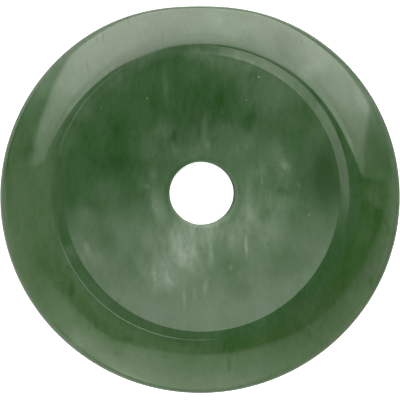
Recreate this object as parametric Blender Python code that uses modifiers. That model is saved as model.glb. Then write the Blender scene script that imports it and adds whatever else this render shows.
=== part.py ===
"""Carved stone donut pendant: a pierced disc with a dished, ringed front.

Metres, +Z up. The disc lies on its flat back with the carved front up. +Y is
the side that hangs uppermost, where the edge is ground a little flat. The
origin is in the middle of the outline, on the surface that the back lies on.
"""

import math

import bmesh
import bpy

# Outline of the disc, seen from the front
STONE_WIDTH = 0.0500
STONE_LENGTH = 0.0491
FLAT_DEPTH = 0.00072
FLAT_REACH = 0.0064
FLAT_EASE = 4

# Heights above the surface that the disc lies on
EDGE_HEIGHT = 0.0024
CROWN_HEIGHT = 0.0036
RIM_ROUND_HEIGHT = 0.0009
RIM_ROUND_WIDTH = 0.00055

# Front: bore, shallow dish, narrow ring, rounded slope
BORE_RADIUS = 0.0040
BORE_ROUND = 0.0003
BORE_OFF_CENTRE = 0.00040
RING_OUTER_RADIUS = 0.0184
RING_WIDTH = 0.00125
RING_FALL = 0.00006
DISH_DEPTH = 0.00055
SHOULDER_WIDTH = 0.00075
SLOPE_SWELL = 0.15

# Back: a flat with a plain rounded bevel
BACK_BEVEL_WIDTH = 0.0030
BACK_BEVEL_ROUNDNESS = 1.5

# Turning
TURN_STEPS = 96
DISH_STEPS = 6
SLOPE_STEPS = 9
SLOPE_STEP_GROWTH = 1.5
ROUND_STEPS = 4
MERGE_DISTANCE = 0.00001
RIM_START_ANGLE = math.radians(50.0)
SHARP_EDGE_ANGLE = math.radians(32.0)

# Stone, as linear colour
STONE_COLOUR = (0.045, 0.110, 0.036, 1.0)
STONE_ROUGHNESS = 0.14

OBJECT_NAME = "stone_donut_pendant"
NODE_NAME = "stone_disc"


def crown_top():
    """Return the height of the ring's outer edge, the highest line."""
    return EDGE_HEIGHT + CROWN_HEIGHT


def rim_radius():
    """Return the radius where the rounded rim meets the slopes."""
    return 0.5 * STONE_WIDTH - RIM_ROUND_WIDTH


def slope_width():
    """Return the width of the front's outer slope."""
    return rim_radius() - RING_OUTER_RADIUS


def slope_share(share):
    """Return how much of a slope's fall is used up at a share of its width.

    The slope leaves its inner edge level, turns over a short shoulder and
    then runs nearly straight, with a slight swell.
    """
    shoulder = SHOULDER_WIDTH / slope_width()
    straight = math.hypot(share, shoulder) - shoulder
    straight /= math.hypot(1.0, shoulder) - shoulder
    return (1.0 - SLOPE_SWELL) * straight + SLOPE_SWELL * share ** 2


def bore_round_points():
    """Return the rounded front edge of the bore, from the wall to the dish."""
    top = crown_top() - DISH_DEPTH
    points = []
    for step in range(ROUND_STEPS + 1):
        angle = 0.5 * math.pi * step / ROUND_STEPS
        radius = BORE_RADIUS + BORE_ROUND * (1.0 - math.cos(angle))
        points.append((radius, top - BORE_ROUND * (1.0 - math.sin(angle))))
    return points


def dish_points():
    """Return the dish, which rises outwards to the ring and steepens."""
    inner = BORE_RADIUS + BORE_ROUND
    outer = RING_OUTER_RADIUS - RING_WIDTH
    rise = DISH_DEPTH - RING_FALL
    low = crown_top() - DISH_DEPTH
    points = []
    for step in range(1, DISH_STEPS + 1):
        share = step / DISH_STEPS
        points.append((inner + share * (outer - inner), low + rise * share ** 2))
    return points


def front_slope_points():
    """Return the rounded slope from the ring's outer edge to the rim."""
    fall = CROWN_HEIGHT - RIM_ROUND_HEIGHT
    points = []
    for step in range(SLOPE_STEPS + 1):
        share = (step / SLOPE_STEPS) ** SLOPE_STEP_GROWTH
        radius = RING_OUTER_RADIUS + share * slope_width()
        points.append((radius, crown_top() - fall * slope_share(share)))
    return points


def rim_points():
    """Return the rounded rim, from the front slope round to the back bevel."""
    spare = 1.0 - math.sin(RIM_START_ANGLE)
    points = []
    for step in range(1, 2 * ROUND_STEPS + 1):
        turn = step / ROUND_STEPS - 1.0
        angle = 0.5 * math.pi + turn * (0.5 * math.pi - RIM_START_ANGLE)
        out = (math.sin(angle) - math.sin(RIM_START_ANGLE)) / spare
        up = math.cos(angle) / math.cos(RIM_START_ANGLE)
        radius = rim_radius() + RIM_ROUND_WIDTH * out
        points.append((radius, EDGE_HEIGHT + RIM_ROUND_HEIGHT * up))
    return points


def back_bevel_points():
    """Return the plain bevel of the back, from the rim in to the flat."""
    height = EDGE_HEIGHT - RIM_ROUND_HEIGHT
    points = []
    for step in range(1, ROUND_STEPS + 1):
        share = 1.0 - step / ROUND_STEPS
        radius = rim_radius() - (1.0 - share) * BACK_BEVEL_WIDTH
        points.append((radius, height * share ** BACK_BEVEL_ROUNDNESS))
    return points


def bore_back_points():
    """Return the rounded back edge of the bore, from the flat to the wall."""
    points = []
    for step in range(ROUND_STEPS + 1):
        angle = 0.5 * math.pi * step / ROUND_STEPS
        radius = BORE_RADIUS + BORE_ROUND * (1.0 - math.sin(angle))
        points.append((radius, BORE_ROUND * (1.0 - math.cos(angle))))
    return points


def disc_profile():
    """Return the closed half section as (radius, height) points."""
    front = bore_round_points() + dish_points() + front_slope_points()
    return front + rim_points() + back_bevel_points() + bore_back_points()


def turned_disc(profile):
    """Turn the half section about Z with a Screw modifier, as one mesh."""
    mesh = bpy.data.meshes.new("disc_profile")
    turned = bpy.data.objects.new("disc_profile", mesh)
    bpy.context.scene.collection.objects.link(turned)
    outline = bmesh.new()
    corners = [outline.verts.new((radius, 0.0, height)) for radius, height in profile]
    for start, end in zip(corners, corners[1:] + corners[:1]):
        outline.edges.new((start, end))
    outline.to_mesh(mesh)
    outline.free()
    screw = turned.modifiers.new("turn", "SCREW")
    screw.axis = "Z"
    screw.steps = TURN_STEPS
    screw.render_steps = TURN_STEPS
    screw.use_merge_vertices = True
    screw.merge_threshold = MERGE_DISTANCE
    evaluated = turned.evaluated_get(bpy.context.evaluated_depsgraph_get())
    solid = bpy.data.meshes.new_from_object(evaluated)
    bpy.data.objects.remove(turned)
    bpy.data.meshes.remove(mesh)
    return solid


def grind_outline(mesh):
    """Move the turned disc's points to the hand-ground outline.

    The disc is a little wider than long. Its outer slope runs off the centre
    of the bore, and its uppermost edge is ground flatter. The dish, the ring
    and the bore stay round and concentric.
    """
    half_width = 0.5 * STONE_WIDTH
    outline_middle = 0.5 * FLAT_DEPTH
    shortening = 1.0 - STONE_LENGTH / STONE_WIDTH
    for vertex in mesh.vertices:
        radius = math.hypot(vertex.co.x, vertex.co.y)
        angle = math.atan2(vertex.co.y, vertex.co.x)
        out = (radius - RING_OUTER_RADIUS) / (half_width - RING_OUTER_RADIUS)
        out = min(1.0, max(0.0, out))
        arc = half_width * math.remainder(angle - 0.5 * math.pi, 2.0 * math.pi)
        ground = radius - FLAT_DEPTH * out ** FLAT_EASE / math.cosh(arc / FLAT_REACH)
        vertex.co.x = ground * math.cos(angle)
        vertex.co.y = ground * math.sin(angle) * (1.0 - shortening * out)
        vertex.co.y += outline_middle + BORE_OFF_CENTRE * (1.0 - out)


def stone_material():
    """Return the polished green stone."""
    material = bpy.data.materials.new("green_stone")
    material.use_nodes = True
    shader = material.node_tree.nodes["Principled BSDF"]
    shader.inputs["Base Color"].default_value = STONE_COLOUR
    shader.inputs["Roughness"].default_value = STONE_ROUGHNESS
    shader.inputs["Metallic"].default_value = 0.0
    return material


def make_disc(collection):
    """Make the pierced disc and return its object."""
    mesh = turned_disc(disc_profile())
    mesh.name = NODE_NAME
    grind_outline(mesh)
    mesh.shade_smooth()
    mesh.set_sharp_from_angle(angle=SHARP_EDGE_ANGLE)
    mesh.materials.append(stone_material())
    disc = bpy.data.objects.new(NODE_NAME, mesh)
    collection.objects.link(disc)
    return disc


def main():
    """Build the pendant in an empty scene."""
    for old in list(bpy.data.objects):
        bpy.data.objects.remove(old)
    collection = bpy.data.collections.new(OBJECT_NAME)
    bpy.context.scene.collection.children.link(collection)
    make_disc(collection)


main()
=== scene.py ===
"""Stone donut pendant: a polished green stone disc, lying front up in a plain light studio.

Laid out as a Blender add-on and run as a script. The disc stands for the CAD
solid that it is built around, with the finer carving of its front: the dish,
the thin ring, the small step round it and the rounded outer slope.
"""

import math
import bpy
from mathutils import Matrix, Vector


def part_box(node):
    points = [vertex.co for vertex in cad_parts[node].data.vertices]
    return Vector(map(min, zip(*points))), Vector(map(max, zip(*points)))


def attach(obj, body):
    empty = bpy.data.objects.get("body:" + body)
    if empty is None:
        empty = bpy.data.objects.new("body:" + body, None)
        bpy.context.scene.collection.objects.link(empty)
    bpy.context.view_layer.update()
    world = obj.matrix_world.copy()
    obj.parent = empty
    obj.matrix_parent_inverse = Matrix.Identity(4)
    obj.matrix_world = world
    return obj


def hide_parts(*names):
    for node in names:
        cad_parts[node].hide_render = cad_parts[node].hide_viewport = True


bl_info = {
    "name": "Stone donut pendant",
    "version": (1, 0, 0),
    "blender": (4, 5, 0),
    "location": "3D View > Sidebar > Pendant",
    "description": "Makes a carved stone donut pendant and a plain studio for it",
    "category": "Object",
}

import bpy
from bpy.props import FloatProperty, FloatVectorProperty, IntProperty, PointerProperty
from mathutils import Vector

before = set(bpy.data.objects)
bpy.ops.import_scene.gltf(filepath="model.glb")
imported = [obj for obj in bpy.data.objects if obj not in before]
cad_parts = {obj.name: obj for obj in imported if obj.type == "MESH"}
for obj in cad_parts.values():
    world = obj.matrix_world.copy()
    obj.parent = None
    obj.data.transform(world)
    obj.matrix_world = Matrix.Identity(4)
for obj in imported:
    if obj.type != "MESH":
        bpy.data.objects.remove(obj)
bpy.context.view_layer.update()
STONE_NODE = "stone_disc"
BODY = "root"
STONE_LOW, STONE_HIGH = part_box(STONE_NODE)
STONE_WIDTH = STONE_HIGH.x - STONE_LOW.x
STONE_TOP = STONE_HIGH.z
MM = 0.001


# Nodes


class Signal:
    """One number in a node tree. Sums and products of it add Math nodes."""

    def __init__(self, bench, socket):
        self.bench = bench
        self.socket = socket

    def __add__(self, other):
        return self.bench.maths("ADD", self, other)

    __radd__ = __add__

    def __sub__(self, other):
        return self.bench.maths("SUBTRACT", self, other)

    def __rsub__(self, other):
        return self.bench.maths("SUBTRACT", other, self)

    def __mul__(self, other):
        return self.bench.maths("MULTIPLY", self, other)

    __rmul__ = __mul__

    def __truediv__(self, other):
        return self.bench.maths("DIVIDE", self, other)

    def __rtruediv__(self, other):
        return self.bench.maths("DIVIDE", other, self)

    def __pow__(self, other):
        return self.bench.maths("POWER", self, other)

    def __neg__(self):
        return self.bench.maths("MULTIPLY", self, -1.0)

    def __mod__(self, other):
        return self.bench.maths("FLOORED_MODULO", self, other)


class Bench:
    """Adds nodes to one tree, each with its settings and what its sockets take."""

    def __init__(self, tree):
        self.tree = tree

    def feed(self, socket, value):
        """Link a socket to another one, or set its own value."""
        if isinstance(value, Signal):
            value = value.socket
        if isinstance(value, bpy.types.NodeSocket):
            self.tree.links.new(value, socket)
        else:
            socket.default_value = value

    def node(self, kind, settings=None, feeds=None):
        """Add a node. Its settings come first, and then its sockets by name or place."""
        made = self.tree.nodes.new(kind)
        for name, value in (settings or {}).items():
            setattr(made, name, value)
        for key, value in (feeds or {}).items():
            self.feed(made.inputs[key], value)
        return made

    def maths(self, operation, *values):
        """Return the number that a Math node works out."""
        made = self.node("ShaderNodeMath", {"operation": operation}, dict(enumerate(values)))
        return Signal(self, made.outputs[0])

    def clamp(self, value):
        """Keep a number between 0 and 1."""
        return self.maths("MINIMUM", self.maths("MAXIMUM", value, 0.0), 1.0)

    def smooth(self, value, low, high):
        """Return 0 below low and 1 above high, easing between them."""
        made = self.node(
            "ShaderNodeMapRange",
            {"interpolation_type": "SMOOTHSTEP"},
            {"Value": value, "From Min": low, "From Max": high},
        )
        return Signal(self, made.outputs["Result"])

    def split(self, vector):
        """Return a vector's three numbers."""
        made = self.node("ShaderNodeSeparateXYZ", feeds={0: vector})
        return [Signal(self, socket) for socket in made.outputs]

    def join(self, x, y, z):
        """Return the vector of three numbers."""
        return self.node("ShaderNodeCombineXYZ", feeds={0: x, 1: y, 2: z}).outputs[0]

    def vector(self, operation, *values):
        """Return the vector that a Vector Math node works out."""
        made = self.node("ShaderNodeVectorMath", {"operation": operation}, dict(enumerate(values)))
        return made.outputs["Vector"]

    def distance(self, first, second):
        """Return how far one point is from another."""
        made = self.node("ShaderNodeVectorMath", {"operation": "DISTANCE"}, {0: first, 1: second})
        return Signal(self, made.outputs["Value"])

    def mix_colours(self, share, first, second):
        """Return the first colour turning into the second as share goes from 0 to 1."""
        made = self.node("ShaderNodeMix", {"data_type": "RGBA"})
        self.feed(made.inputs[0], share)
        self.feed(made.inputs[6], first)
        self.feed(made.inputs[7], second)
        return made.outputs[2]

    def noise(self, vector, scale, detail=3.0, roughness=0.5, distortion=0.0):
        """Return smooth noise from 0 to 1."""
        made = self.node(
            "ShaderNodeTexNoise",
            feeds={
                "Vector": vector,
                "Scale": scale,
                "Detail": detail,
                "Roughness": roughness,
                "Distortion": distortion,
            },
        )
        return Signal(self, made.outputs[0])

    def nearby(self, value, centre, full, none):
        """Return 1 round a centre, easing to 0 between two distances from it."""
        return 1.0 - self.smooth(self.maths("ABSOLUTE", value - centre), full, none)


# Settings that a user would change


class PendantStoneSettings(bpy.types.PropertyGroup):
    """Sizes of the carved disc."""

    bore_radius: FloatProperty(
        name="Bore radius",
        description="Radius of the round hole",
        default=4.0 * MM,
        subtype="DISTANCE",
        unit="LENGTH",
    )
    ring_radius: FloatProperty(
        name="Ring radius",
        description="Outer radius of the narrow ring round the dish",
        default=18.4 * MM,
        subtype="DISTANCE",
        unit="LENGTH",
    )
    ring_width: FloatProperty(
        name="Ring width",
        description="Width of the narrow ring",
        default=1.25 * MM,
        subtype="DISTANCE",
        unit="LENGTH",
    )
    turn_steps: IntProperty(
        name="Turn steps",
        description="Number of steps in one turn of the disc",
        default=480,
    )


class PendantFinishSettings(bpy.types.PropertyGroup):
    """Colours of the stone."""

    deep_green: FloatVectorProperty(
        name="Deep green",
        description="Colour of the stone's darkest clouds",
        default=(0.0085, 0.052, 0.0028, 1.0),
        size=4,
        subtype="COLOR",
    )
    pale_green: FloatVectorProperty(
        name="Pale green",
        description="Colour of the milkiest clouds",
        default=(0.1885, 0.232, 0.1828, 1.0),
        size=4,
        subtype="COLOR",
    )


# Stone disc


# Bore, rim and back
BORE_ROUND = 0.20 * MM
RIM_ROUND_WIDTH = 0.55 * MM
RIM_ROUND_HEIGHT = 0.90 * MM
RIM_START = math.radians(50.0)
EDGE_HEIGHT = 2.4 * MM
BACK_BEVEL_WIDTH = 3.0 * MM
BACK_ROUNDNESS = 1.5
CROWN_SPARE = 0.06 * MM
RIM_RADIUS = 0.5 * STONE_WIDTH - RIM_ROUND_WIDTH

# Slopes of the front in degrees, above 0 where it falls outwards. Those of the
# outer slope come after their distances from the ring's radius, in millimetres.
DISH_EDGE_SLOPE = -4.8
RING_SLOPE = -2.0
RING_EDGE_SLOPE = 4.9
OUTER_SLOPES = [(0.45, 6.1), (0.70, 8.6), (1.20, 15.0), (1.60, 24.0), (2.60, 26.5)]
RIM_SLOPE = 30.0

# Ring and the small step round it
DISH_EDGE_TURN = 0.04 * MM
RING_EDGE_TURN = 0.02 * MM
RING_EDGE_INSET = 0.08 * MM
STEP_WIDTH = 0.13 * MM
STEP_INSET = 0.06 * MM
STEP_WIDEST = math.radians(195.0)
STEP_WANDER_MIDDLE = 0.75

# How finely the section is divided: steps to a round, the most that a slope
# turns in one step, and the longest steps near the ring's edge and elsewhere
ROUND_STEPS = 8
TURN_PER_STEP = 1.5
FINE_REACH = 0.35 * MM
FINE_START = 0.30 * MM
FINE_STEP = 0.025 * MM
PLAIN_STEP = 0.35 * MM

# Grinding: which heights belong to the front and to the flat edge's slope,
# and how the flat eases in
FRONT_START = 3.2 * MM
FRONT_END = 4.4 * MM
LIFT_START = 1.4 * MM
LIFT_END = 3.3 * MM
FLAT_EASE = 4.0
FLAT_LEAN_END = 0.6
MERGE_DISTANCE = 0.002 * MM
WAVES_PER_METRE = 160.0


def slope_stations(stone):
    """Return the front's slope in degrees at chosen radii, from bore to rim.

    A positive slope falls outwards. Between two stations the slope changes
    evenly, so each stretch of the profile is close to an arc.
    """
    outer = stone.ring_radius
    inner = outer - stone.ring_width
    bore = stone.bore_radius + BORE_ROUND
    stations = [
        (bore, 0.0),
        (inner - DISH_EDGE_TURN, DISH_EDGE_SLOPE),
        (inner + DISH_EDGE_TURN, RING_SLOPE),
        (outer - FINE_START, RING_SLOPE),
        (outer - RING_EDGE_INSET - RING_EDGE_TURN, RING_SLOPE),
        (outer - RING_EDGE_INSET + RING_EDGE_TURN, RING_EDGE_SLOPE),
    ]
    stations += [(outer + away * MM, slope) for away, slope in OUTER_SLOPES]
    return stations + [(RIM_RADIUS, RIM_SLOPE)]


def front_points(stone):
    """Return the front's profile from the bore's edge to the rim, by adding up its slopes.

    Heights are measured from the crown, the highest line.
    """
    points = [(stone.bore_radius + BORE_ROUND, 0.0)]
    stations = slope_stations(stone)
    for (start, slope), (end, next_slope) in zip(stations, stations[1:]):
        turn = abs(next_slope - slope)
        at_step = abs(start - stone.ring_radius) < FINE_REACH
        longest = FINE_STEP if at_step else PLAIN_STEP
        steps = max(1, math.ceil(turn / TURN_PER_STEP), math.ceil((end - start) / longest))
        for step in range(1, steps + 1):
            radius, height = points[-1]
            width = (end - start) / steps
            middle = slope + (next_slope - slope) * (step - 0.5) / steps
            points.append((radius + width, height - width * math.tan(math.radians(middle))))
    top = max(height for radius, height in points)
    return [(radius, height - top) for radius, height in points]


def rim_points():
    """Return the rounded rim, from the front slope round to the back bevel."""
    spare = 1.0 - math.sin(RIM_START)
    points = []
    for step in range(1, 4 * ROUND_STEPS + 1):
        turn = step / (2 * ROUND_STEPS) - 1.0
        angle = 0.5 * math.pi + turn * (0.5 * math.pi - RIM_START)
        out = (math.sin(angle) - math.sin(RIM_START)) / spare
        up = math.cos(angle) / math.cos(RIM_START)
        points.append((RIM_RADIUS + RIM_ROUND_WIDTH * out, EDGE_HEIGHT + RIM_ROUND_HEIGHT * up))
    return points


def back_points(stone):
    """Return the plain back: its bevel, its flat and the bore's rounded lower edge."""
    height = EDGE_HEIGHT - RIM_ROUND_HEIGHT
    points = []
    for step in range(1, 2 * ROUND_STEPS + 1):
        share = 1.0 - step / (2 * ROUND_STEPS)
        points.append((RIM_RADIUS - (1.0 - share) * BACK_BEVEL_WIDTH, height * share**BACK_ROUNDNESS))
    flat_start = RIM_RADIUS - BACK_BEVEL_WIDTH
    flat_end = stone.bore_radius + BORE_ROUND
    for step in range(1, 3 * ROUND_STEPS):
        points.append((flat_start + (flat_end - flat_start) * step / (3 * ROUND_STEPS), 0.0))
    for step in range(ROUND_STEPS + 1):
        angle = 0.5 * math.pi * step / ROUND_STEPS
        radius = stone.bore_radius + BORE_ROUND * (1.0 - math.sin(angle))
        points.append((radius, BORE_ROUND * (1.0 - math.cos(angle))))
    return points


def wall_points(stone, mouth):
    """Return the bore's wall, from its lower edge up towards its mouth."""
    low, high = BORE_ROUND, mouth - BORE_ROUND
    return [(stone.bore_radius, low + (high - low) * step / ROUND_STEPS) for step in range(1, ROUND_STEPS)]


def mouth_points(stone, mouth):
    """Return the bore's rounded mouth, from the wall to the dish."""
    points = []
    for step in range(ROUND_STEPS):
        angle = 0.5 * math.pi * step / ROUND_STEPS
        radius = stone.bore_radius + BORE_ROUND * (1.0 - math.cos(angle))
        points.append((radius, mouth - BORE_ROUND * (1.0 - math.sin(angle))))
    return points


def disc_profile(stone):
    """Return the closed half section as (radius, height) points.

    The outer slope's heights are fitted to the CAD's crown and rim.
    """
    front = front_points(stone)
    crown = STONE_TOP - CROWN_SPARE
    fit = (crown - EDGE_HEIGHT - RIM_ROUND_HEIGHT) / -front[-1][1]
    crown_radius = max(front, key=lambda point: point[1])[0]
    front = [(r, crown + height * (fit if r > crown_radius else 1.0)) for r, height in front]
    mouth = front[0][1]
    top = mouth_points(stone, mouth) + front + rim_points()
    return top + back_points(stone) + wall_points(stone, mouth)


TURNING_INPUTS = [
    ("Turn Steps", "NodeSocketInt", 480),
    ("Shortening", "NodeSocketFloat", 0.018),
    ("Bore Off Centre", "NodeSocketFloat", 0.40 * MM),
    ("Half Width", "NodeSocketFloat", 25.0 * MM),
    ("Bore Radius", "NodeSocketFloat", 4.0 * MM),
    ("Ring Radius", "NodeSocketFloat", 18.4 * MM),
    ("Ring Width", "NodeSocketFloat", 1.25 * MM),
    ("Ring Drop", "NodeSocketFloat", 0.0917 * MM),
    ("Ring Merge Angle", "NodeSocketFloat", math.radians(140.0)),
    ("Ring Merge Start", "NodeSocketFloat", math.radians(42.0)),
    ("Ring Merge End", "NodeSocketFloat", math.radians(86.0)),
    ("Step Rise", "NodeSocketFloat", 0.040 * MM),
    ("Step Angle", "NodeSocketFloat", math.radians(212.0)),
    ("Step Start", "NodeSocketFloat", math.radians(20.0)),
    ("Step End", "NodeSocketFloat", math.radians(82.0)),
    ("Step Wander", "NodeSocketFloat", 0.5 * MM),
    ("Bore Shift", "NodeSocketFloat", 0.13 * MM),
    ("Bore Widening", "NodeSocketFloat", 0.03),
    ("Bore Shortening", "NodeSocketFloat", 0.020),
    ("Bore Rise", "NodeSocketFloat", 0.018 * MM),
    ("Bore Reach", "NodeSocketFloat", 3.0 * MM),
    ("Outline Middle", "NodeSocketFloat", 0.36 * MM),
    ("Flat Depth", "NodeSocketFloat", 0.80 * MM),
    ("Flat Reach", "NodeSocketFloat", 6.4 * MM),
    ("Flat Lean", "NodeSocketFloat", 0.15),
    ("Flat Lift", "NodeSocketFloat", 0.545),
    ("Waviness", "NodeSocketFloat", 0.006 * MM),
    ("Seed", "NodeSocketInt", 4),
]


def turning_tree(material):
    """Return the Geometry Nodes tree that turns a half section into the ground disc."""
    tree = bpy.data.node_groups.new("turned_disc", "GeometryNodeTree")
    tree.is_modifier = True
    face = tree.interface
    face.new_socket("Geometry", in_out="INPUT", socket_type="NodeSocketGeometry")
    for name, kind, value in TURNING_INPUTS:
        face.new_socket(name, in_out="INPUT", socket_type=kind).default_value = value
    face.new_socket("Geometry", in_out="OUTPUT", socket_type="NodeSocketGeometry")
    bench = Bench(tree)
    given = tree.nodes.new("NodeGroupInput").outputs

    def size(name):
        return Signal(bench, given[name])

    def aside(angle, place):
        """Return 0 round one angle of the stone, rising to 1 on both sides of it."""
        away = bench.maths("WRAP", angle - size(place + " Angle"), math.pi, -math.pi)
        away = bench.maths("ABSOLUTE", away)
        return bench.smooth(away, size(place + " Start"), size(place + " End"))

    count_node = bench.node("GeometryNodeAttributeDomainSize", feeds={"Geometry": given["Geometry"]})
    count = Signal(bench, count_node.outputs["Point Count"])
    turns = size("Turn Steps")
    grid = bench.node(
        "GeometryNodeMeshGrid",
        feeds={"Size X": 1.0, "Size Y": 1.0, "Vertices X": count + 1.0, "Vertices Y": turns + 1.0},
    )
    index = Signal(bench, bench.node("GeometryNodeInputIndex").outputs[0])
    row = bench.maths("FLOOR", (index + 0.5) / (turns + 1.0))
    step = index - row * (turns + 1.0)
    position = bench.node("GeometryNodeInputPosition").outputs[0]
    sampled = bench.node(
        "GeometryNodeSampleIndex",
        {"data_type": "FLOAT_VECTOR", "domain": "POINT"},
        {"Geometry": given["Geometry"], "Value": position, "Index": row % count},
    )
    radius, _, height = bench.split(sampled.outputs[0])
    angle = step * (2.0 * math.pi) / turns
    front = bench.smooth(height, FRONT_START, FRONT_END)

    ring = size("Ring Radius")
    ring_start = ring - size("Ring Width")
    bore_end = size("Bore Radius") + BORE_ROUND
    dished = bench.clamp((radius - bore_end) / (ring_start - bore_end))
    over_ring = bench.clamp((ring - RING_EDGE_INSET - radius) / (size("Ring Width") - RING_EDGE_INSET))
    wander = bench.maths("COSINE", angle - STEP_WIDEST) - STEP_WANDER_MIDDLE
    wander = wander * size("Step Wander")
    below_step = 1.0 - bench.smooth(radius - wander, ring - STEP_INSET, ring - STEP_INSET + STEP_WIDTH)
    lift = size("Ring Drop") * aside(angle, "Ring Merge") * over_ring
    lift = lift - size("Step Rise") * (1.0 - aside(angle, "Step")) * below_step
    height = height + lift * dished * front

    out = bench.clamp((radius - ring) / (size("Half Width") - ring))
    from_top = bench.maths("WRAP", angle - 0.5 * math.pi, math.pi, -math.pi)
    reach = size("Flat Reach") * (1.0 + size("Flat Lean") * bench.smooth(-from_top, 0.0, FLAT_LEAN_END))
    flat = size("Flat Depth") * out**FLAT_EASE
    flat = flat / bench.maths("COSH", from_top * size("Half Width") / reach)
    ground = radius - flat
    height = height + flat * size("Flat Lift") * bench.smooth(height, LIFT_START, LIFT_END)
    at_bore = 1.0 - bench.smooth(radius, bore_end, bore_end + size("Bore Reach"))
    across = ground * bench.maths("COSINE", angle) * (1.0 + size("Bore Widening") * at_bore)
    across = across + size("Bore Shift") * at_bore
    along = ground * bench.maths("SINE", angle) * (1.0 - size("Shortening") * out)
    along = along * (1.0 - size("Bore Shortening") * at_bore) + size("Bore Rise") * at_bore
    along = along + size("Outline Middle") + size("Bore Off Centre") * (1.0 - out)
    turned = bench.node(
        "GeometryNodeSetPosition",
        feeds={"Geometry": grid.outputs["Mesh"], "Position": bench.join(across, along, height)},
    )
    seamless = bench.node(
        "GeometryNodeMergeByDistance", feeds={"Geometry": turned.outputs[0], "Distance": MERGE_DISTANCE}
    )
    seed_shift = bench.join(size("Seed") * 0.37, size("Seed") * 0.11, 0.0)
    wave = bench.noise(bench.vector("ADD", position, seed_shift), WAVES_PER_METRE, detail=1.0)
    top_only = bench.smooth(bench.split(position)[2], FRONT_START, FRONT_END)
    wavy = (wave - 0.5) * size("Waviness") * top_only
    lowered = bench.maths("MINIMUM", wavy, 0.0)
    waved = bench.node(
        "GeometryNodeSetPosition",
        feeds={"Geometry": seamless.outputs[0], "Offset": bench.join(0.0, 0.0, lowered)},
    )
    smooth = bench.node("GeometryNodeSetShadeSmooth", feeds={"Geometry": waved.outputs[0]})
    real = bench.node("GeometryNodeRealizeInstances", feeds={"Geometry": smooth.outputs[0]})
    finished = bench.node(
        "GeometryNodeSetMaterial", feeds={"Geometry": real.outputs[0], "Material": material}
    )
    result = tree.nodes.new("NodeGroupOutput")
    bench.feed(result.inputs[0], finished.outputs[0])
    return tree


def set_inputs(modifier, tree, values):
    """Set a Geometry Nodes modifier's inputs by their sockets' identifiers."""
    for item in tree.interface.items_tree:
        if item.item_type == "SOCKET" and item.in_out == "INPUT" and item.name in values:
            modifier[item.identifier] = values[item.name]


def turned_mesh(stone, material):
    """Return the finished disc as a plain mesh."""
    points = disc_profile(stone)
    section = bpy.data.meshes.new("half_section")
    edges = [(place, (place + 1) % len(points)) for place in range(len(points))]
    section.from_pydata([(radius, 0.0, height) for radius, height in points], edges, [])
    holder = bpy.data.objects.new("half_section", section)
    bpy.context.scene.collection.objects.link(holder)
    tree = turning_tree(material)
    modifier = holder.modifiers.new("turn", "NODES")
    modifier.node_group = tree
    set_inputs(
        modifier,
        tree,
        {
            "Turn Steps": stone.turn_steps,
            "Half Width": 0.5 * STONE_WIDTH,
            "Bore Radius": stone.bore_radius,
            "Ring Radius": stone.ring_radius,
            "Ring Width": stone.ring_width,
        },
    )
    evaluated = holder.evaluated_get(bpy.context.evaluated_depsgraph_get())
    mesh = bpy.data.meshes.new_from_object(evaluated)
    holder.modifiers.remove(modifier)
    bpy.data.objects.remove(holder)
    return mesh


# Stone finish


# Middle of the bore, and the scaling that makes its slightly oval mouth round
BORE_CENTRE = (0.13 * MM, 0.76 * MM, 0.0)
BORE_SQUEEZE = (0.97, 1.015, 1.0)

# Distances from the middle of the bore, each where a change starts and ends: the painted light on the
# bore's wall, the bore's rough mouth with its painted shade, the polish and the warmer stone
PAINTED_LIGHT_WALL_EDGE = (4.01 * MM, 4.04 * MM)
DRILLED_AND_SHADED_EDGE = (4.04 * MM, 4.13 * MM)
POLISH_EDGE = (4.12 * MM, 4.30 * MM)
WARM_EDGE = (18.0 * MM, 19.5 * MM)

# Heights where the painted shade on the rim starts and ends, below and above
RIM_SHADE_FOOT = (0.9 * MM, 1.5 * MM)
RIM_SHADE_HEAD = (2.9 * MM, 3.3 * MM)

# Warmer stone below a line across the disc, easing out above it
WARM_FADE = (-4.0 * MM, 18.0 * MM)

# Which haze takes the deep green, and how much more makes the pale one
HAZE_FLOOR = -0.02
HAZE_SPAN = 0.18
DARKEST = 0.001

# Squeezes noise so that it runs along the stone's grain
GRAIN = (1.0, 0.4, 1.0)

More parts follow.
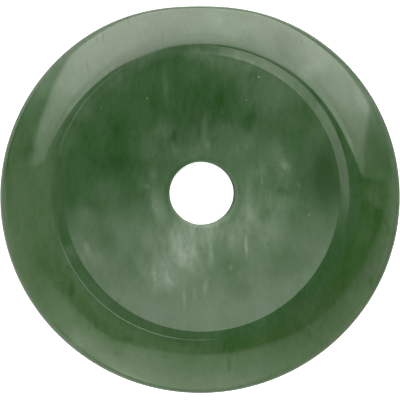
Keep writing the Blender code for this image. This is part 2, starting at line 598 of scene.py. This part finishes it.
# Milky clouds and patches, wisps, and darker clouds and streaks in the stone.
# Each has its place and half sizes in millimetres, its lean in degrees and its
# strength.
MILKY_CLOUDS = [
    (0.2, 0.8, 7.0, 7.0, 0, 0.030),
    (-0.8, -4.9, 7.6, 5.2, 0, 0.070),
    (0.6, -3.4, 6.4, 2.8, 0, 0.044),
    (-2.8, -5.8, 2.2, 3.6, 25, 0.060),
    (-2.4, -8.0, 4.6, 4.4, 0, 0.038),
    (-4.8, -9.6, 2.8, 2.8, 0, 0.036),
    (-5.6, -6.8, 2.4, 5.8, 22, 0.036),
    (-7.6, -8.2, 1.4, 3.0, 30, 0.026),
    (-8.7, -3.2, 4.4, 4.8, 20, 0.020),
    (-5.2, -2.2, 2.0, 3.4, 10, 0.020),
    (5.6, -1.0, 3.4, 4.6, 0, 0.046),
    (5.6, -5.2, 3.4, 3.8, 0, 0.034),
    (7.0, 3.2, 2.0, 1.6, 0, 0.014),
    (10.8, -0.6, 2.2, 2.6, 0, 0.020),
    (10.0, 4.4, 2.2, 4.8, 12, 0.028),
    (8.8, -2.4, 3.4, 5.4, 0, 0.038),
    (6.4, 4.6, 6.0, 5.0, 0, 0.030),
    (2.4, 6.6, 5.2, 3.0, 0, 0.018),
    (5.6, 7.8, 4.4, 2.6, 0, 0.012),
    (3.0, 8.7, 2.4, 1.8, 0, 0.012),
    (-4.9, 8.7, 1.8, 1.8, 0, 0.020),
    (-5.7, 6.0, 2.4, 3.4, 0, 0.018),
    (-3.2, 5.9, 1.4, 1.2, 0, 0.016),
    (-6.2, 1.4, 3.0, 3.6, 0, 0.014),
    (-5.5, -0.8, 1.4, 3.2, 12, 0.045),
    (-12.0, 1.0, 4.2, 2.4, 0, 0.012),
    (-14.2, -2.0, 1.6, 2.2, 0, 0.010),
    (-1.3, -6.8, 1.4, 2.0, 10, 0.050),
    (-16.4, 7.4, 1.4, 3.4, -24, 0.012),
    (21.6, 0.4, 1.8, 3.0, 0, 0.024),
    (-1.0, -19.2, 9.0, 1.8, -4, 0.014),
    (3.5, 20.4, 1.8, 1.2, 0, 0.018),
    (-10.2, 18.4, 3.0, 1.6, 30, 0.012),
    (-15.6, 13.8, 1.5, 3.0, -48, 0.016),
    (0.5, -14.2, 11.0, 3.0, 0, 0.008),
    (8.6, 13.6, 9.0, 6.0, -25, 0.020),
    (4.0, 16.8, 6.0, 1.6, -14, 0.028),
    (8.6, 14.6, 3.0, 1.4, -30, 0.012),
    (-0.2, 18.0, 4.4, 1.0, 0, 0.020),
    (-6.4, 17.6, 4.4, 1.2, 20, 0.016),
    (17.9, 0.8, 0.9, 3.4, 0, 0.012),
    (-14.5, 10.9, 2.0, 2.4, 0, 0.016),
    (-10.1, 15.0, 3.2, 2.8, 0, 0.014),
    (13.4, 16.2, 2.8, 2.2, 30, 0.026),
    (1.8, 22.2, 2.2, 2.0, 0, 0.016),
    (6.1, 21.7, 3.4, 1.8, 0, 0.012),
    (-13.6, 17.2, 3.4, 3.4, 0, 0.010),
    (-18.9, 14.2, 1.6, 3.0, -35, 0.022),
    (20.3, 12.2, 1.6, 3.2, 25, 0.030),
    (22.9, 4.4, 1.4, 5.0, 8, 0.018),
]
MILKY_PATCHES = [
    (10.8, 2.4, 2.2, 4.6, 0, 0.008),
    (5.6, -0.6, 1.6, 4.6, 0, 0.024),
    (8.6, 0.8, 2.4, 3.4, 0, 0.012),
    (9.0, -4.2, 3.0, 3.0, 0, 0.012),
    (-16.4, 11.0, 1.4, 2.0, -30, 0.012),
    (-1.3, 6.2, 4.4, 4.0, 0, 0.014),
    (-3.9, -1.2, 1.4, 1.6, 0, 0.024),
    (3.6, -4.2, 1.8, 3.2, 0, 0.018),
    (6.8, -2.4, 3.0, 4.4, 0, 0.014),
    (-15.0, -17.4, 2.2, 2.8, 45, 0.022),
    (-16.4, -6.6, 1.6, 2.0, 0, 0.016),
    (-15.2, -1.6, 1.8, 2.4, 0, 0.012),
    (8.6, 13.0, 3.4, 1.8, -30, 0.012),
    (13.7, -13.8, 3.0, 3.0, 0, 0.012),
    (20.6, -4.6, 2.2, 3.2, -10, 0.012),
]
FINE_WISPS = [
    (0.3, 8.9, 0.7, 3.0, 0, 0.024),
    (0.7, 6.8, 0.6, 1.0, 20, 0.030),
    (-6.0, 3.2, 0.8, 1.2, 15, 0.026),
    (-6.8, 1.6, 0.7, 0.5, -20, 0.026),
    (-4.5, 14.2, 0.6, 4.0, 2, 0.018),
    (5.5, -5.8, 0.40, 2.2, 0, 0.060),
    (1.1, -6.8, 0.6, 2.8, 3, 0.045),
    (-2.2, -12.2, 0.40, 1.8, 0, 0.040),
    (-1.0, -11.6, 0.35, 1.6, 0, 0.026),
    (0.5, -10.6, 0.5, 1.8, -8, 0.034),
    (-5.9, -9.6, 0.4, 2.4, 5, 0.044),
    (-4.0, -9.9, 0.45, 1.4, 30, 0.040),
    (-14.2, -6.2, 0.6, 1.8, 22, 0.034),
    (10.4, 4.2, 0.8, 1.4, 20, 0.034),
    (7.4, 2.4, 0.25, 0.9, 5, 0.030),
    (12.1, 1.8, 0.35, 0.8, 20, 0.030),
    (3.6, -8.4, 0.5, 0.6, 0, 0.030),
    (-5.0, -4.8, 0.8, 1.8, 35, 0.022),
    (-1.2, -4.0, 0.5, 1.6, 8, 0.040),
]
DARK_CLOUDS = [
    (-10.6, 4.4, 4.4, 2.8, -10, 0.012),
    (-12.2, -5.2, 2.8, 3.0, 0, 0.014),
    (-10.2, -8.8, 3.6, 3.6, 0, 0.014),
    (11.0, -8.0, 3.6, 2.8, 0, 0.034),
    (8.6, -9.4, 3.0, 2.0, 0, 0.010),
    (4.9, -11.0, 2.8, 2.0, 0, 0.020),
    (3.4, -8.4, 1.6, 2.2, 0, 0.014),
    (15.4, 2.8, 3.3, 6.4, 0, 0.034),
    (12.4, 10.9, 2.0, 3.0, 40, 0.018),
    (13.8, 12.4, 1.4, 2.0, 40, 0.014),
    (-10.1, 8.6, 3.6, 4.6, 0, 0.012),
    (3.0, 12.4, 2.6, 4.4, 0, 0.022),
    (19.6, 3.4, 2.4, 2.4, 0, 0.010),
    (-5.6, 12.4, 2.0, 3.4, 0, 0.010),
    (-5.2, 6.6, 1.6, 2.0, 0, 0.012),
    (-14.4, -8.4, 1.6, 2.4, 30, 0.004),
    (-11.6, -4.8, 2.2, 2.6, 0, 0.010),
    (2.6, 18.5, 3.6, 0.8, -8, 0.010),
    (10.3, 18.0, 2.2, 1.4, -30, 0.016),
    (-3.5, 20.8, 1.8, 1.4, 0, 0.012),
    (-12.8, -9.8, 1.6, 2.8, 40, 0.018),
    (-16.4, -1.6, 2.0, 4.4, 0, 0.006),
    (-0.7, 12.4, 5.6, 5.0, 0, 0.010),
    (-3.5, 7.8, 0.6, 1.2, 0, 0.018),
    (5.9, 9.9, 1.4, 2.0, -10, 0.014),
    (7.6, -1.6, 1.0, 1.4, 0, 0.034),
    (10.2, 0.9, 1.6, 0.8, 0, 0.026),
    (10.4, 19.7, 2.8, 2.2, -20, 0.034),
    (15.5, 14.9, 2.6, 2.0, 0, 0.010),
    (-19.2, 12.0, 1.4, 4.4, -25, 0.016),
    (-21.4, 6.2, 1.8, 2.0, 0, 0.018),
    (-19.9, -7.6, 1.6, 2.8, 10, 0.006),
    (-20.6, -9.0, 0.9, 1.2, 0, 0.006),
    (-21.3, -3.2, 1.4, 2.0, 0, 0.006),
    (21.8, -10.4, 1.2, 2.4, -30, 0.012),
]
DARK_STREAKS = [
    (-16.1, -11.2, 0.6, 1.9, 0, 0.024),
    (-13.1, -15.6, 0.5, 1.5, 5, 0.014),
    (-10.4, -12.6, 0.6, 0.5, 0, 0.018),
    (-4.6, -19.4, 0.6, 0.7, 0, 0.020),
    (-9.1, -17.2, 0.8, 0.7, 0, 0.012),
    (-6.4, -19.7, 0.6, 0.6, 0, 0.010),
    (-10.7, -19.1, 0.7, 0.8, 0, 0.010),
    (3.4, -20.4, 0.35, 1.6, 4, 0.020),
    (2.8, -18.2, 0.2, 0.9, 0, 0.016),
    (13.4, -16.8, 0.5, 1.1, 15, 0.014),
    (-9.1, 22.2, 0.22, 1.0, 15, 0.055),
    (-12.1, 20.4, 0.22, 1.1, 0, 0.040),
    (-13.0, 19.8, 0.20, 0.8, 0, 0.035),
    (-14.1, 16.6, 0.25, 1.4, 5, 0.022),
    (-4.9, 20.2, 0.25, 1.1, 0, 0.024),
    (12.5, 19.8, 0.25, 1.2, 15, 0.026),
    (23.2, -3.2, 0.4, 1.9, 22, 0.012),
    (21.9, -1.2, 0.4, 1.2, 50, 0.010),
    (21.2, -10.2, 0.5, 0.7, 0, 0.020),
]
# Specks, each with its place and radius in millimetres
PALE_SPECKS = [
    (-6.78, 12.5, 0.16),
    (-12.45, 11.35, 0.10),
    (7.03, 15.2, 0.18),
    (5.5, 12.36, 0.12),
    (13.3, -1.9, 0.14),
]
DARK_SPECKS = [
    (8.28, -5.6, 0.22),
    (18.92, 11.75, 0.16),
    (-17.4, -10.35, 0.18),
]
# Greener clouds, and below 0 greyer ones
GREEN_CLOUDS = [
    (-8.0, 19.6, 15.0, 6.0, 25, -0.009),
    (9.0, 20.4, 8.0, 4.0, -25, -0.006),
    (0.0, 10.0, 10.0, 7.0, 0, -0.005),
    (15.2, 3.0, 4.4, 7.0, 0, -0.008),
    (13.6, -14.6, 12.0, 4.4, 42, -0.007),
    (-10.6, 4.4, 4.4, 3.4, 0, -0.006),
    (21.4, 3.0, 3.4, 11.0, 0, 0.003),
    (21.2, -8.8, 2.6, 5.0, -30, -0.006),
    (0.0, -7.0, 14.0, 10.0, 0, 0.003),
    (5.0, -1.0, 13.0, 13.0, 0, 0.004),
    (4.0, 20.8, 6.0, 2.4, -15, 0.004),
    (-20.6, 12.0, 3.0, 8.0, -28, 0.005),
]


def strewn_clouds(bench, place, clouds):
    """Return the summed strength of soft oval clouds at a place in the stone."""
    total = 0.0
    for x, y, half_width, half_length, lean, strength in clouds:
        inside = bench.node(
            "ShaderNodeMapping",
            {"vector_type": "TEXTURE"},
            {
                "Vector": place,
                "Location": (x * MM, y * MM, 0.0),
                "Rotation": (0.0, 0.0, math.radians(lean)),
                "Scale": (half_width * MM, half_length * MM, 1.0),
            },
        )
        away = bench.distance(inside.outputs[0], (0.0, 0.0, 0.0))
        total = total + (1.0 - bench.smooth(away, 0.0, 1.0)) * strength
    return total


def strewn_specks(bench, place, specks):
    """Return 1 in each speck and 0 round them."""
    total = 0.0
    for x, y, radius in specks:
        away = bench.distance(place, (x * MM, y * MM, 0.0))
        total = total + 1.0 - bench.smooth(away, 0.5 * radius * MM, radius * MM)
    return total


def warped(bench, place, grain, scale, amount, stretch):
    """Return a place pushed about in the plane by noise, more along the stone's grain."""
    noise = bench.node(
        "ShaderNodeTexNoise", feeds={"Vector": grain, "Scale": scale, "Detail": 3.0, "Roughness": 0.6}
    )
    push = bench.vector("SUBTRACT", noise.outputs["Color"], (0.5, 0.5, 0.5))
    push = bench.vector("MULTIPLY", push, (amount, amount * stretch, 0.0))
    return bench.vector("ADD", place, push)


def dragged(bench, place, strength):
    """Return a place moved a little along the grain by the clouds there, so that finer ones follow them."""
    return bench.vector("ADD", place, bench.join(0.0, strength * MM, 0.0))


def stone_haze(bench, coordinates):
    """Return how milky the stone is at a place, below 0 where it is darker than most."""
    flat = bench.vector("MULTIPLY", coordinates, (1.0, 1.0, 0.0))
    grain = bench.vector("MULTIPLY", coordinates, GRAIN)
    clouded = warped(bench, flat, grain, scale=300.0, amount=1.3 * MM, stretch=1.6)
    fine = warped(bench, flat, grain, scale=900.0, amount=0.5 * MM, stretch=1.6)
    clouded = warped(bench, clouded, grain, scale=800.0, amount=1.0 * MM, stretch=2.0)
    clouds = strewn_clouds(bench, clouded, MILKY_CLOUDS)
    clouds = clouds + strewn_clouds(bench, dragged(bench, clouded, clouds), MILKY_PATCHES)
    fine = dragged(bench, fine, clouds)
    milk = clouds + strewn_clouds(bench, fine, FINE_WISPS)
    fibres = bench.noise(grain, scale=620.0, detail=4.0, roughness=0.6, distortion=0.6)
    threads = bench.noise(grain, scale=380.0, detail=4.0, roughness=0.65, distortion=1.2)
    threads = 1.0 - bench.clamp(bench.maths("ABSOLUTE", threads - 0.5) * 11.0)
    milk = milk * (bench.smooth(fibres, 0.3, 0.7) * 0.5 + threads * 0.3 + 0.65)
    shades = strewn_clouds(bench, dragged(bench, clouded, milk), DARK_CLOUDS)
    dark = shades + strewn_clouds(bench, dragged(bench, fine, shades), DARK_STREAKS)
    mottled = (bench.noise(grain, scale=240.0, detail=5.0, roughness=0.65) - 0.5) * 0.046
    mottled = mottled + (bench.noise(grain, scale=1900.0, detail=2.0, roughness=0.8) - 0.5) * 0.022
    specks = strewn_specks(bench, flat, PALE_SPECKS) - strewn_specks(bench, flat, DARK_SPECKS) * 0.4
    return milk - dark + mottled + specks * 0.08 + 0.002


def stone_material(finish):
    """Return the polished, cloudy green stone, bored through and a little rougher in the bore, with painted
    shade on its rim and round the bore's mouth, and painted light on the bore's wall.
    """
    material = bpy.data.materials.new("polished_green_stone")
    material.use_nodes = True
    bench = Bench(material.node_tree)
    shader = material.node_tree.nodes["Principled BSDF"]
    coordinates = bench.node("ShaderNodeTexCoord").outputs["Object"]
    haze = stone_haze(bench, coordinates)
    paleness = bench.clamp((haze - HAZE_FLOOR) / HAZE_SPAN)
    colour = bench.mix_colours(paleness, tuple(finish.deep_green), tuple(finish.pale_green))
    flat = bench.vector("MULTIPLY", coordinates, (1.0, 1.0, 0.0))
    from_bore = bench.distance(bench.vector("MULTIPLY", flat, BORE_SQUEEZE), BORE_CENTRE)
    greener = strewn_clouds(bench, dragged(bench, flat, haze), GREEN_CLOUDS)
    along = bench.split(flat)[1]
    warmer = bench.smooth(from_bore, *WARM_EDGE) * (1.0 - bench.smooth(along, *WARM_FADE))
    hue = bench.join(warmer * 0.0005, greener + 0.0012, 0.002 - warmer * 0.0055)
    height = bench.split(coordinates)[2]
    # Painted shade: the body colour is darkened at the rim's heights, where the outward-leaning rim gets
    # less light; the bore's wall at these heights is darkened as well
    edge = bench.smooth(height, *RIM_SHADE_FOOT) * (1.0 - bench.smooth(height, *RIM_SHADE_HEAD))
    # The bore's mouth is rougher, and its colour is darkened there as painted shade, a dark line round the
    # hole
    drilled_and_shaded = 1.0 - bench.smooth(from_bore, *DRILLED_AND_SHADED_EDGE)
    # Painted light: the bore's own wall is brightened, since little light reaches inside the bore
    wall = 1.0 - bench.smooth(from_bore, *PAINTED_LIGHT_WALL_EDGE)
    shade = (1.0 - edge * 0.3) * (1.0 - drilled_and_shaded * 0.4) * (1.0 + wall * 1.5)
    colour = bench.vector("MAXIMUM", bench.vector("ADD", colour, hue), (DARKEST, DARKEST, DARKEST))
    colour = bench.vector("MULTIPLY", colour, bench.join(shade, shade, shade))
    bench.feed(shader.inputs["Base Color"], colour)
    polished = bench.smooth(from_bore, *POLISH_EDGE)
    bench.feed(shader.inputs["Roughness"], 0.35 - polished * 0.27 + drilled_and_shaded * 0.6)
    shader.inputs["IOR"].default_value = 1.61
    shader.inputs["Subsurface Weight"].default_value = 0.2
    shader.inputs["Subsurface Radius"].default_value = (0.6, 1.0, 0.5)
    shader.inputs["Subsurface Scale"].default_value = 1.2 * MM
    return material


class PENDANT_OT_stone_disc(bpy.types.Operator):
    """Turn, grind and finish the stone disc"""

    bl_idname = "pendant.stone_disc"
    bl_label = "Make stone disc"

    def execute(self, context):
        scene = context.scene
        mesh = turned_mesh(scene.pendant_stone, stone_material(scene.pendant_finish))
        mesh.name = "carved_disc"
        disc = bpy.data.objects.new("carved_disc", mesh)
        scene.collection.objects.link(disc)
        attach(disc, BODY)
        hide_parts(STONE_NODE)
        return {"FINISHED"}


# Studio


# Lights hang at this height, and their corners and shades are given in it
CEILING = 0.60
LIGHT_SPACING = 2.0 * MM
LIGHT_TONE = (1.0, 0.99, 0.94)
VIEW_GAMMA = 0.87

# Near edge of the main light, in ceiling heights, and how soon it is fully lit
NEAR_EDGE = 0.235
NEAR_EDGE_EASE = 0.012

# Floor, and how bright the camera sees it and the backdrop
FLOOR_SIZE = 8.0
FLOOR_DROP = 0.02 * MM
FLOOR_SEEN = 0.9
WALL_LIGHT = 0.04
BACKDROP_SEEN = 1.0

# Camera: its lean to the left, its distance, where it looks and how much of
# the picture's width the stone takes
CAMERA_TILT = math.radians(3.0)
CAMERA_REACH = 0.45
CAMERA_TARGET = (-0.1 * MM, -0.08 * MM)
SENSOR_WIDTH = 12.0
STONE_SHARE = 1.003


def hang_light(name, low, high, shade):
    """Hang a flat light at ceiling height, between two corners given in ceiling heights.

    shade takes the nodes and the two places in ceiling heights, and returns
    the brightness there. The light is returned.
    """
    width = (high[0] - low[0]) * CEILING
    length = (high[1] - low[1]) * CEILING
    middle_x = 0.5 * (low[0] + high[0]) * CEILING
    middle_y = 0.5 * (low[1] + high[1]) * CEILING
    data = bpy.data.lights.new(name, "AREA")
    data.shape = "RECTANGLE"
    data.size = width
    data.size_y = length
    data.color = LIGHT_TONE
    data.energy = width * length * math.pi
    light = bpy.data.objects.new(name, data)
    height = CEILING + LIGHT_SPACING * len(bpy.data.lights)
    light.location = (middle_x, middle_y, height)
    light.visible_camera = False
    bpy.context.scene.collection.objects.link(light)
    data.use_nodes = True
    bench = Bench(data.node_tree)
    across, along, _ = bench.split(bench.node("ShaderNodeNewGeometry").outputs["Position"])
    emission = data.node_tree.nodes["Emission"]
    bench.feed(emission.inputs["Strength"], shade(bench, across / CEILING, along / CEILING))
    return light


def past_near_edge(bench, across, along):
    """Return 1 behind the near edge of the main light, which runs a little askew, else 0."""
    edge = bench.smooth(across, -0.22, -0.08) * 0.015 + bench.smooth(across, 0.12, 0.2) * 0.012
    edge = edge + NEAR_EDGE - bench.smooth(across, 0.15, 0.45) * 0.11
    bulge = bench.smooth(across, -0.07, 0.0) * (1.0 - bench.smooth(across, 0.1, 0.19))
    return bench.smooth(along - edge - bulge * 0.031, 0.0, NEAR_EDGE_EASE)


def back_shade(bench, across, along):
    """Brighten the main light away from the stone, and cut its right end obliquely."""
    central = bench.nearby(across, 0.0, 0.25, 0.45)
    rise = bench.smooth(along, 0.15 - central * 0.12, 1.2) * 2.4 + 0.85
    rise = rise - bench.smooth(along, 1.4, 2.6) * 0.6
    dip = 1.05 - bench.nearby(across, 0.45, 0.5, 1.3) * 0.17
    inside = bench.maths("MINIMUM", (along - 0.22) * 0.72 + 1.52, 2.12) - across
    ends = bench.smooth(inside, 0.0, 0.07) * (bench.smooth(inside, 0.0, 0.6) * 0.2 + 0.8)
    ends = ends * bench.smooth(across, -1.41, -1.37)
    return rise * dip * ends * past_near_edge(bench, across, along)


def near_shade(bench, across, along):
    """Soften three edges of the small light over the stone, the front one along a bent line."""
    ends = bench.smooth(across, -0.16, -0.06) * (1.0 - bench.smooth(across, 0.17, 0.27))
    ends = ends * (1.0 - bench.nearby(across, 0.166, 0.008, 0.03) * 0.32)
    bend = bench.smooth(across, 0.14, 0.2) * 0.05 - bench.smooth(across, 0.0, 0.08) * 0.008
    return bench.smooth(along + bend, -0.01, 0.075) * ends * 2.35


def glow_shade(bench, across, along):
    """Brighten the near edge of the main light in its middle."""
    ease = 1.0 - bench.smooth(along, 0.5, 1.3)
    middle = bench.nearby(across, 0.15, 0.3, 1.05)
    return ease * middle * 1.5 * past_near_edge(bench, across, along)


def fill_shade(bench, across, along):
    """Brighten the wide fill towards the back, and ease its near edge in at the right."""
    right = bench.smooth(across, 1.7, 2.0)
    near = 0.7 - right * (1.0 - bench.smooth(along, 0.15, 1.0)) * 0.7
    near = near + bench.smooth(across, 1.85, 2.1) * bench.smooth(along, 0.35, 0.95) * 0.9
    near = near + bench.smooth(-across, 1.35, 1.5) * bench.smooth(along, 0.75, 1.0) * 0.4
    ends = 1.0 - bench.smooth(across, 2.15, 2.3) * (bench.smooth(along, 2.2, 3.2) * 0.8 + 0.2)
    ends = ends * (1.0 - bench.smooth(-across, 2.15, 2.3))
    return (bench.smooth(along, 0.9, 2.4) * 1.7 + near) * ends * past_near_edge(bench, across, along)


def side_shade(bench, across, along):
    """Keep the sides faintly lit, and leave the middle dark."""
    low = bench.maths("MINIMUM", along, 0.0)
    above = bench.smooth(along, 0.03, 0.1)
    left = 1.0 - bench.smooth(across, low * 0.2 - 0.2 - above * 0.25, 0.12 - above * 0.17)
    far = bench.smooth(-across, 1.0, 1.4)
    left = left * (0.76 - bench.smooth(-along, 0.2, 0.9) * 0.30 - far * 0.10)
    return left + bench.smooth(across, 1.6, 2.3) * 0.3 + 0.12 - bench.smooth(across, 0.6, 1.0) * 0.1


def foot_shade(bench, across, along):
    """Give the foot light a crisp back edge that turns up at both ends, and ease it in behind."""
    right = bench.maths("MAXIMUM", across - 0.8, 0.0)
    turned_up = bench.maths("MAXIMUM", right * right * 0.8, -across - 0.7)
    near = bench.maths("MAXIMUM", turned_up, 0.0) - 1.235 - along
    sudden = bench.smooth(across, 0.9, 1.2) * 0.2
    ease = bench.smooth(near, 0.0, 0.015) * (bench.clamp(near / 0.72) * (0.68 - sudden) + 0.32 + sudden)
    level = 2.1 - bench.smooth(across, 0.4, 1.4) * 0.95 + bench.smooth(-across, 0.3, 0.65) * 0.7
    level = level - bench.smooth(-across, 0.8, 1.05)
    return ease * (level - bench.smooth(-across, 1.15, 1.35) * 0.9)


def low_shade(bench, across, along):
    """Light the low front evenly."""
    return bench.smooth(-along, 1.0, 2.0) * 3.6


# Hung lights: name, near left and far right corners in ceiling heights, shade
LIGHTS = [
    ("back_light", (-1.48, 0.14), (2.5, 6.0), back_shade),
    ("near_light", (-0.16, -0.06), (0.27, 0.19), near_shade),
    ("glow_light", (-0.9, 0.14), (1.28, 1.32), glow_shade),
    ("fill_light", (-6.0, 0.14), (6.0, 7.0), fill_shade),
    ("side_light", (-6.0, -5.0), (6.0, NEAR_EDGE), side_shade),
    ("foot_light", (-4.0, -5.0), (4.0, 0.6), foot_shade),
    ("low_light", (-6.0, -9.0), (6.0, -1.0), low_shade),
]


def pale_world(ambient, seen):
    """Light everything a little from pale walls all round, and show a pale backdrop."""
    world = bpy.data.worlds.new("pale_studio")
    bpy.context.scene.world = world
    world.use_nodes = True
    bench = Bench(world.node_tree)
    backdrop = world.node_tree.nodes["Background"]
    direct = Signal(bench, bench.node("ShaderNodeLightPath").outputs["Is Camera Ray"])
    backdrop.inputs["Color"].default_value = (1.0, 1.0, 1.0, 1.0)
    toward = bench.split(bench.node("ShaderNodeTexCoord").outputs["Generated"])
    brightness = bench.smooth(toward[1], -0.2, 0.9) * 1.3 + 1.3
    brightness = brightness - bench.smooth(toward[0], 0.2, 0.9) * 0.4
    walls = 1.0 - bench.smooth(toward[2], 0.04, 0.32)
    walls = walls * brightness
    around = walls + ambient
    bench.feed(backdrop.inputs["Strength"], around + direct * (seen - around))


def pale_floor():
    """Lay a large plain light table under the stone, which glows more on the stone's left."""
    bpy.ops.mesh.primitive_plane_add(size=FLOOR_SIZE, location=(0.0, 0.0, -FLOOR_DROP))
    floor = bpy.context.object
    floor.name = "floor"
    material = bpy.data.materials.new("pale_floor")
    material.use_nodes = True
    shader = material.node_tree.nodes["Principled BSDF"]
    shader.inputs["Base Color"].default_value = (0.86, 0.86, 0.86, 1.0)
    shader.inputs["Roughness"].default_value = 0.9
    shader.inputs["Emission Color"].default_value = (1.0, 1.0, 1.0, 1.0)
    bench = Bench(material.node_tree)
    direct = Signal(bench, bench.node("ShaderNodeLightPath").outputs["Is Camera Ray"])
    across, along, _ = bench.split(bench.node("ShaderNodeTexCoord").outputs["Object"])
    around = (1.0 - bench.smooth(across * 0.87 - along * 0.5, -4.0 * MM, 18.0 * MM)) * 0.5
    away = bench.distance(bench.join(across, along, 0.0), (0.0, 0.0, 0.0))
    around = around * (1.2 - bench.smooth(away, 16.0 * MM, 22.0 * MM) * 0.2)
    bench.feed(shader.inputs["Emission Strength"], around + direct * (FLOOR_SEEN - around))
    floor.data.materials.append(material)


def photo_camera():
    """Look straight down on the stone, a little from its left."""
    target = Vector((*CAMERA_TARGET, 0.5 * STONE_TOP))
    data = bpy.data.cameras.new("camera")
    camera = bpy.data.objects.new("camera", data)
    bpy.context.scene.collection.objects.link(camera)
    back = Vector((-math.sin(CAMERA_TILT), 0.0, math.cos(CAMERA_TILT)))
    camera.location = target + back * CAMERA_REACH
    camera.rotation_euler = (0.0, -CAMERA_TILT, 0.0)
    data.sensor_width = SENSOR_WIDTH
    data.lens = STONE_SHARE * SENSOR_WIDTH * CAMERA_REACH / STONE_WIDTH
    data.clip_start = 0.01
    bpy.context.scene.camera = camera


class PENDANT_OT_studio(bpy.types.Operator):
    """Lay the floor, hang the soft lights and set the camera"""

    bl_idname = "pendant.studio"
    bl_label = "Make studio"

    def execute(self, context):
        pale_floor()
        pale_world(WALL_LIGHT, BACKDROP_SEEN)
        lights = {}
        for name, low, high, shade in LIGHTS:
            lights[name] = hang_light(name, low, high, shade)
        lights["fill_light"].visible_diffuse = False
        lights["low_light"].visible_glossy = False
        photo_camera()
        context.scene.view_settings.view_transform = "Standard"
        context.scene.view_settings.gamma = VIEW_GAMMA
        return {"FINISHED"}


# Panel and registration


class PENDANT_PT_panel(bpy.types.Panel):
    """Sizes, colours and steps of the pendant"""

    bl_idname = "PENDANT_PT_panel"
    bl_label = "Pendant"
    bl_space_type = "VIEW_3D"
    bl_region_type = "UI"
    bl_category = "Pendant"

    def draw(self, context):
        for settings in (context.scene.pendant_stone, context.scene.pendant_finish):
            for name in settings.__annotations__:
                self.layout.prop(settings, name)
        for operator in (PENDANT_OT_stone_disc, PENDANT_OT_studio):
            self.layout.operator(operator.bl_idname)


CLASSES = (
    PendantStoneSettings,
    PendantFinishSettings,
    PENDANT_OT_stone_disc,
    PENDANT_OT_studio,
    PENDANT_PT_panel,
)


def register():
    """Register the classes and hang the settings on the scene."""
    for cls in CLASSES:
        bpy.utils.register_class(cls)
    bpy.types.Scene.pendant_stone = PointerProperty(type=PendantStoneSettings)
    bpy.types.Scene.pendant_finish = PointerProperty(type=PendantFinishSettings)


def unregister():
    """Take the settings and the classes away again."""
    del bpy.types.Scene.pendant_finish
    del bpy.types.Scene.pendant_stone
    for cls in reversed(CLASSES):
        bpy.utils.unregister_class(cls)


def main():
    """Make the pendant and its studio."""
    register()
    bpy.ops.pendant.stone_disc()
    bpy.ops.pendant.studio()


if __name__ == "__main__":
    main()
